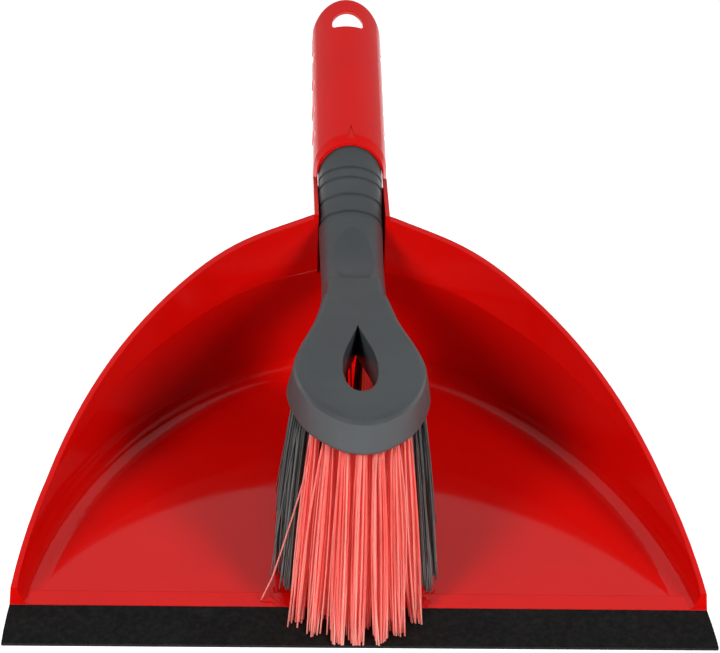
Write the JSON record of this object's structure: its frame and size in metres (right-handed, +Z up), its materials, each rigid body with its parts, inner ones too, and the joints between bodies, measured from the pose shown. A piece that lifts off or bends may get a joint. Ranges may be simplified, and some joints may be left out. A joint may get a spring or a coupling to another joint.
{
  "type": "dustpan and brush",
  "caption": "Red plastic dustpan with a black rubber lip and a hollow handle that holds an anthracite hand brush with coral and black bristles.",
  "frame": {"origin": "centre of the bounding box in plan, at the height of the surface the pan stands on", "axes": "+Z up; +Y from the rubber lip towards the end of the handle; +X to the right of someone looking from the lip to the handle"},
  "size_m": [0.3, 0.3581, 0.1466],
  "materials": {
    "red_plastic": "glossy red moulding",
    "black_rubber": "matt black rubber",
    "anthracite_plastic": "satin anthracite moulding",
    "coral_bristle": "coral plastic filament",
    "black_bristle": "black plastic filament",
    "anchor_steel": "plain wire"
  },
  "bodies": {
    "pan": {"dustpan": "red_plastic", "rubber_lip": "black_rubber"},
    "brush": {"black_tuft_01": "black_bristle", "black_tuft_02": "black_bristle", "black_tuft_03": "black_bristle", "black_tuft_04": "black_bristle", "black_tuft_05": "black_bristle", "black_tuft_06": "black_bristle", "black_tuft_07": "black_bristle", "black_tuft_08": "black_bristle", "black_tuft_09": "black_bristle", "black_tuft_10": "black_bristle", "black_tuft_11": "black_bristle", "black_tuft_12": "black_bristle", "black_tuft_13": "black_bristle", "black_tuft_14": "black_bristle", "black_tuft_15": "black_bristle", "black_tuft_16": "black_bristle", "black_tuft_17": "black_bristle", "black_tuft_18": "black_bristle", "black_tuft_19": "black_bristle", "black_tuft_20": "black_bristle", "black_tuft_21": "black_bristle", "black_tuft_22": "black_bristle", "black_tuft_23": "black_bristle", "black_tuft_24": "black_bristle", "black_tuft_25": "black_bristle", "black_tuft_26": "black_bristle", "black_tuft_27": "black_bristle", "black_tuft_28": "black_bristle", "black_tuft_29": "black_bristle", "black_tuft_30": "black_bristle", "black_tuft_31": "black_bristle", "black_tuft_32": "black_bristle", "black_tuft_33": "black_bristle", "black_tuft_34": "black_bristle", "black_tuft_35": "black_bristle", "black_tuft_36": "black_bristle", "brush_body": "anthracite_plastic", "coral_tuft_01": "coral_bristle", "coral_tuft_02": "coral_bristle", "coral_tuft_03": "coral_bristle", "coral_tuft_04": "coral_bristle", "coral_tuft_05": "coral_bristle", "coral_tuft_06": "coral_bristle", "coral_tuft_07": "coral_bristle", "coral_tuft_08": "coral_bristle", "coral_tuft_09": "coral_bristle", "coral_tuft_10": "coral_bristle", "coral_tuft_11": "coral_bristle", "coral_tuft_12": "coral_bristle", "coral_tuft_13": "coral_bristle", "coral_tuft_14": "coral_bristle", "coral_tuft_15": "coral_bristle", "coral_tuft_16": "coral_bristle", "coral_tuft_17": "coral_bristle", "coral_tuft_18": "coral_bristle", "tuft_anchors": "anchor_steel"}
  },
  "joints": [
    {"name": "brush_tilt", "type": "hinge", "parent": "pan", "child": "brush", "pos_m": [0, 0.07295, 0.104], "axis": [-1, 0, 0], "range_deg": [0, 20]}
  ]
}
